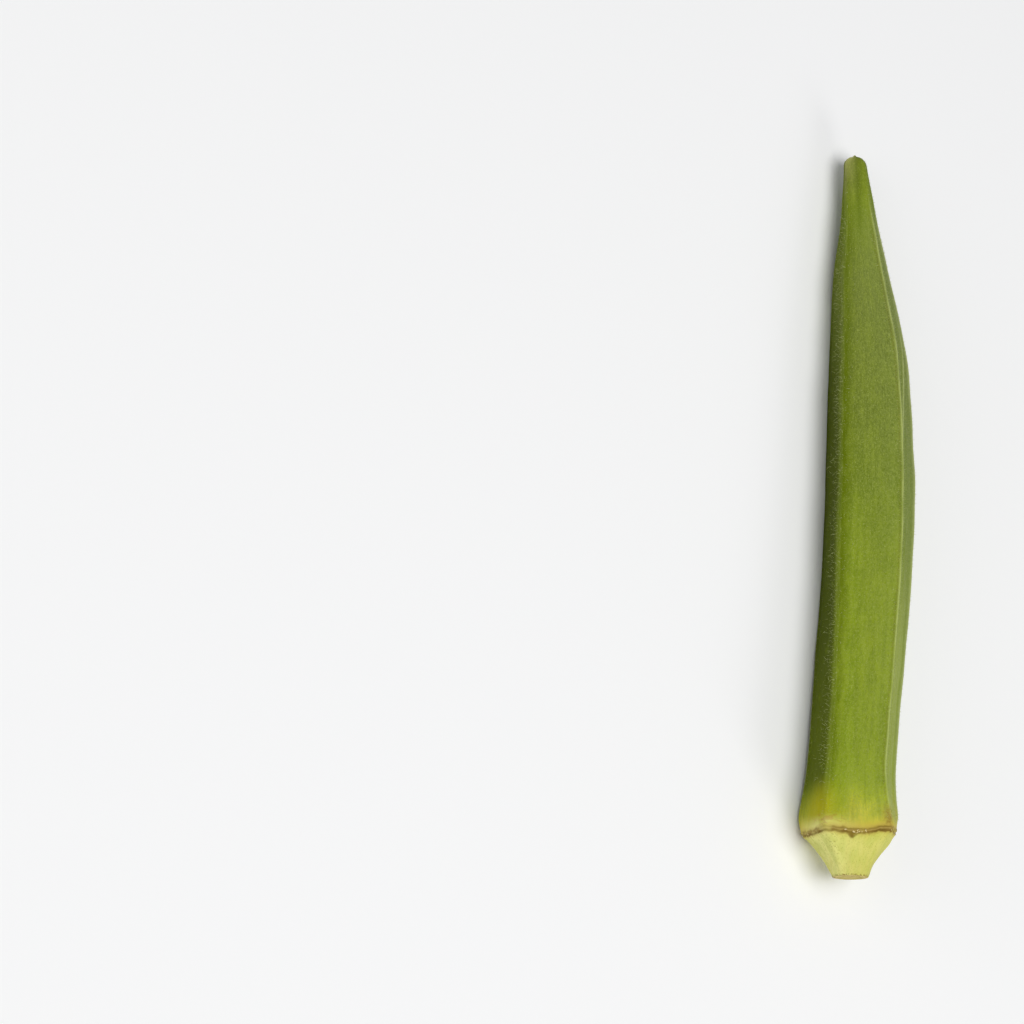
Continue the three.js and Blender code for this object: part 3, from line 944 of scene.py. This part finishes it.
TRIES_PER_MM2 = 30  # how densely points are tried before those too close to others go
SMALLEST_SHARE = 0.5  # of the given size, for the smallest hair or flake
HAIR_BEND = (0, 0, 0.6)  # where a hair of length 1 bends towards, and where it ends
HAIR_END = (0.35, 0, 0.95)
HAIR_ROOT_SHARE = 0.5  # its radius at its root and at its tip, as shares of its thickness
HAIR_TIP_SHARE = 0.08
HAIR_SIDES = 3  # as seen in section
FLAKE_SHAPE = (1, 0.5, 0.1)  # a flake of size 1: its half length, width and thickness
FLAKE_CURL = 0.45  # how far its ends lift
LEAST_FLOAT = 2  # a Random Value node's sockets for floats: the least, the most, and the value
MOST_FLOAT = 3
RANDOM_FLOAT = 1


def new_tree(name, sockets):
    """A Geometry Nodes tree with named inputs, and those inputs' sockets inside it."""
    tree = bpy.data.node_groups.new(name, "GeometryNodeTree")
    for label, kind in {"Surface": "NodeSocketGeometry", **sockets}.items():
        tree.interface.new_socket(label, in_out="INPUT", socket_type=kind)
    tree.interface.new_socket("Result", in_out="OUTPUT", socket_type="NodeSocketGeometry")
    return tree, add_node(tree, "NodeGroupInput").outputs


def hair_tree():
    """Bent, tapering hairs scattered over a surface wherever a named mark allows."""
    tree, given = new_tree("plant_hairs", {
        "Mark": "NodeSocketString", "Spacing": "NodeSocketFloat",
        "Length": "NodeSocketFloat", "Thickness": "NodeSocketFloat", "Lean": "NodeSocketFloat",
        "Points": "NodeSocketInt", "Seed": "NodeSocketInt", "Material": "NodeSocketMaterial",
    })
    bend, end = (
        add_node(tree, "ShaderNodeVectorMath", {
            0: place, "Scale": given["Length"],
        }, operation="SCALE").outputs["Vector"]
        for place in (HAIR_BEND, HAIR_END)
    )
    curve = add_node(tree, "GeometryNodeCurveQuadraticBezier", {
        "Start": (0, 0, 0), "Middle": bend, "End": end,
    })
    path = add_node(tree, "GeometryNodeResampleCurve", {
        "Curve": curve.outputs["Curve"], "Count": given["Points"],
    })
    along = add_node(tree, "GeometryNodeSplineParameter")
    taper = add_node(tree, "ShaderNodeMapRange", {
        "Value": along.outputs["Factor"], "To Min": HAIR_ROOT_SHARE, "To Max": HAIR_TIP_SHARE,
    })
    radius = add_node(tree, "ShaderNodeMath", {
        0: taper.outputs["Result"], 1: given["Thickness"],
    }, operation="MULTIPLY")
    section = add_node(tree, "GeometryNodeCurvePrimitiveCircle", {
        "Resolution": HAIR_SIDES, "Radius": 1,
    })
    hair = add_node(tree, "GeometryNodeCurveToMesh", {
        "Curve": path.outputs["Curve"], "Profile Curve": section.outputs["Curve"],
        "Scale": radius.outputs["Value"],
    })
    return scatter(tree, given, hair.outputs["Mesh"])


def flake_tree():
    """Thin curled flakes with uneven edges, scattered flat on a surface where a mark allows."""
    tree, given = new_tree("scar_flakes", {
        "Mark": "NodeSocketString", "Spacing": "NodeSocketFloat", "Size": "NodeSocketFloat",
        "Lean": "NodeSocketFloat", "Seed": "NodeSocketInt", "Material": "NodeSocketMaterial",
    })
    ball = add_node(tree, "GeometryNodeMeshIcoSphere", {"Radius": 1, "Subdivisions": 3})
    place = add_node(tree, "GeometryNodeInputPosition").outputs["Position"]
    noise = add_node(tree, "ShaderNodeTexNoise", {"Vector": place, "Scale": 1.3, "Detail": 2})
    uneven = add_node(tree, "ShaderNodeMapRange", {
        "Value": noise.outputs["Fac"], "From Min": 0.35, "From Max": 0.65,
        "To Min": 0.5, "To Max": 1.2,
    })
    edge = add_node(tree, "ShaderNodeVectorMath", {
        0: place, "Scale": uneven.outputs["Result"],
    }, operation="SCALE")
    flat = add_node(tree, "ShaderNodeVectorMath", {
        0: edge.outputs["Vector"], 1: FLAKE_SHAPE,
    }, operation="MULTIPLY")
    parts = add_node(tree, "ShaderNodeSeparateXYZ", {"Vector": flat.outputs["Vector"]}).outputs
    curl = add_node(tree, "ShaderNodeMath", {
        0: parts["X"], 1: parts["X"],
    }, operation="MULTIPLY")
    lift = add_node(tree, "ShaderNodeMath", {
        0: curl.outputs["Value"], 1: FLAKE_CURL, 2: parts["Z"],
    }, operation="MULTIPLY_ADD")
    curled = add_node(tree, "ShaderNodeCombineXYZ", {
        "X": parts["X"], "Y": parts["Y"], "Z": lift.outputs["Value"],
    })
    sized = add_node(tree, "ShaderNodeVectorMath", {
        0: curled.outputs["Vector"], "Scale": given["Size"],
    }, operation="SCALE")
    flake = add_node(tree, "GeometryNodeSetPosition", {
        "Geometry": ball.outputs["Mesh"], "Position": sized.outputs["Vector"],
    })
    return scatter(tree, given, flake.outputs["Geometry"])


def scatter(tree, given, shape):
    """Stands a shape all over a surface where its mark allows, each turned and leaned its own
    way, and makes them one mesh."""
    mark = add_node(tree, "GeometryNodeInputNamedAttribute", {
        "Name": given["Mark"],
    }, data_type="FLOAT")
    scattered = add_node(tree, "GeometryNodeDistributePointsOnFaces", {
        "Mesh": given["Surface"], "Distance Min": given["Spacing"],
        "Density Max": TRIES_PER_MM2 / (MM * MM), "Density Factor": mark.outputs["Attribute"],
        "Seed": given["Seed"],
    }, distribute_method="POISSON")
    low_lean = add_node(tree, "ShaderNodeMath", {
        0: given["Lean"], 1: -1,
    }, operation="MULTIPLY")
    lowest = add_node(tree, "ShaderNodeCombineXYZ", {
        "X": low_lean.outputs["Value"], "Y": low_lean.outputs["Value"],
    })
    highest = add_node(tree, "ShaderNodeCombineXYZ", {
        "X": given["Lean"], "Y": given["Lean"], "Z": TURN,
    })
    turn = add_node(tree, "FunctionNodeRandomValue", {
        0: lowest.outputs["Vector"], 1: highest.outputs["Vector"], "Seed": given["Seed"],
    }, data_type="FLOAT_VECTOR")
    own_turn = add_node(tree, "FunctionNodeEulerToRotation", {
        "Euler": turn.outputs["Value"],
    })
    rotation = add_node(tree, "FunctionNodeRotateRotation", {
        "Rotation": scattered.outputs["Rotation"], "Rotate By": own_turn.outputs["Rotation"],
    }, rotation_space="LOCAL")
    size = add_node(tree, "FunctionNodeRandomValue", {
        LEAST_FLOAT: SMALLEST_SHARE, MOST_FLOAT: 1.0, "Seed": given["Seed"],
    }, data_type="FLOAT")
    standing = add_node(tree, "GeometryNodeInstanceOnPoints", {
        "Points": scattered.outputs["Points"], "Instance": shape,
        "Rotation": rotation.outputs["Rotation"], "Scale": size.outputs[RANDOM_FLOAT],
    })
    real = add_node(tree, "GeometryNodeRealizeInstances", {
        "Geometry": standing.outputs["Instances"],
    })
    finished = add_node(tree, "GeometryNodeSetMaterial", {
        "Geometry": real.outputs["Geometry"], "Material": given["Material"],
    })
    add_node(tree, "NodeGroupOutput", {0: finished.outputs["Geometry"]})
    return tree


def grow(name, tree, surface, values):
    """The mesh that a tree makes on a copy of a surface, as a plain piece of its own."""
    seedbed = surface.copy()
    bpy.context.scene.collection.objects.link(seedbed)
    modifier = seedbed.modifiers.new(name, "NODES")
    modifier.node_group = tree
    for item in tree.interface.items_tree:
        if item.in_out == "INPUT" and item.name in values:
            modifier[item.identifier] = values[item.name]
    evaluated = seedbed.evaluated_get(bpy.context.evaluated_depsgraph_get())
    mesh = bpy.data.meshes.new_from_object(evaluated)
    bpy.data.objects.remove(seedbed)
    mesh.name = name
    mesh.shade_smooth()
    return add_object(name, mesh)


# ---- The floor, the light and the camera ----

FLOOR_SIZE = 4000  # mm
FLOOR_GAP = 0.02  # mm below the pod, so that the two don't share a surface
# Each softbox's place in metres, its size in metres and its power in watts.
SOFTBOXES = {
    "key_softbox": ((-0.1, -0.12, 1.2), 0.8, 10.5),
    "fill_softbox": ((0.4, -0.9, 0.5), 0.4, 2.4),
    "side_softbox": ((-0.8, 0.1, 0.35), 0.6, 0.9),
}
STUDIO_COLOUR = "#f2f4f6"
STUDIO_STRENGTH = 0.22


def make_floor():
    """One flat board under the pod."""
    half = FLOOR_SIZE / 2
    corners = [(-half, -half), (half, -half), (half, half), (-half, half)]
    points = np.array([(x, y, -FLOOR_GAP) for x, y in corners])
    mesh_piece("floor", points, [(0, 1, 2, 3)], [matt_white_board()])


def light_the_scene():
    """Square softboxes that face the pod, in a pale, dim studio."""
    for name, (place, size, power) in SOFTBOXES.items():
        light = bpy.data.lights.new(name, "AREA")
        light.shape = "SQUARE"
        light.size = size
        light.energy = power
        lamp = add_object(name, light)
        lamp.location = place
        lamp.rotation_euler = (-Vector(place)).to_track_quat("-Z", "Y").to_euler()

    world = bpy.data.worlds.new("studio")
    world.use_nodes = True
    background = world.node_tree.nodes["Background"]
    background.inputs["Color"].default_value = linear(STUDIO_COLOUR)
    background.inputs["Strength"].default_value = STUDIO_STRENGTH
    bpy.context.scene.world = world
    bpy.context.scene.view_settings.view_transform = "Standard"


FRAME_PIXELS = 1024
LENS = 200  # this and the sensor's width are in mm
SENSOR = 36
PIXELS_PER_MM = 5.8  # at the middle of the pod
POD_PIXEL = (864, 512)  # where the middle of the pod comes in the frame
POD_MIDDLE = Vector((0, 0, 8)) * MM
CAMERA_FROM_UP = math.radians(36)
CAMERA_TO_CUT_END = math.radians(8.5)


def place_camera():
    """The camera faces the pod's upper left face squarely, leans to the cut end, and is
    turned so that the pod comes at its own place in the frame."""
    focal_pixels = FRAME_PIXELS * LENS / SENSOR
    distance = focal_pixels / PIXELS_PER_MM * MM
    to_camera = Vector((
        -math.sin(CAMERA_FROM_UP) * math.cos(CAMERA_TO_CUT_END),
        -math.sin(CAMERA_TO_CUT_END),
        math.cos(CAMERA_FROM_UP) * math.cos(CAMERA_TO_CUT_END),
    ))
    up = Vector((0, 1, 0))
    up = (up - up.dot(to_camera) * to_camera).normalized()
    facing = Matrix((up.cross(to_camera), up, to_camera)).transposed()

    right_of_middle = POD_PIXEL[0] - FRAME_PIXELS / 2
    above_middle = FRAME_PIXELS / 2 - POD_PIXEL[1]
    yaw = math.atan2(right_of_middle, focal_pixels)
    pitch = math.atan2(above_middle, math.hypot(right_of_middle, focal_pixels))
    turned = facing @ Matrix.Rotation(-pitch, 3, "X") @ Matrix.Rotation(yaw, 3, "Y")

    camera = bpy.data.cameras.new("camera")
    camera.lens = LENS
    camera.sensor_width = SENSOR
    holder = add_object("camera", camera)
    place = POD_MIDDLE + to_camera * distance
    holder.matrix_world = Matrix.Translation(place) @ turned.to_4x4()
    bpy.context.scene.camera = holder


# ---- The scene ----

place_camera()
light_the_scene()
make_floor()

pod = make_pod(fresh_okra_skin(), dried_cut_stem())
hairs = hair_tree()
stiff_hair = plant_hair("stiff_plant_hair", "#c3cb88")
fine_down = plant_hair("fine_plant_down", "#a6b054")
ridge_hairs = grow("ridge_hairs", hairs, pod, {
    "Mark": "ridge_hair", "Spacing": 0.34 * MM, "Length": 0.36 * MM, "Thickness": 0.07 * MM,
    "Lean": math.radians(45), "Points": 3, "Seed": 1, "Material": stiff_hair,
})
side_hairs = grow("side_hairs", hairs, pod, {
    "Mark": "side_hair", "Spacing": 0.66 * MM, "Length": 0.7 * MM, "Thickness": 0.1 * MM,
    "Lean": math.radians(50), "Points": 3, "Seed": 2, "Material": stiff_hair,
})
face_down = grow("face_down", hairs, pod, {
    "Mark": "face_hair", "Spacing": 0.42 * MM, "Length": 0.4 * MM, "Thickness": 0.06 * MM,
    "Lean": math.radians(75), "Points": 2, "Seed": 3, "Material": fine_down,
})
scar_flakes = grow("scar_flakes", flake_tree(), pod, {
    "Mark": "flake", "Spacing": 0.3 * MM, "Size": 0.36 * MM, "Lean": math.radians(18),
    "Seed": 4, "Material": dry_scar_flake(),
})

for piece in (pod, ridge_hairs, side_hairs, face_down, scar_flakes):
    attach(piece, "root")
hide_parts("okra_pod")
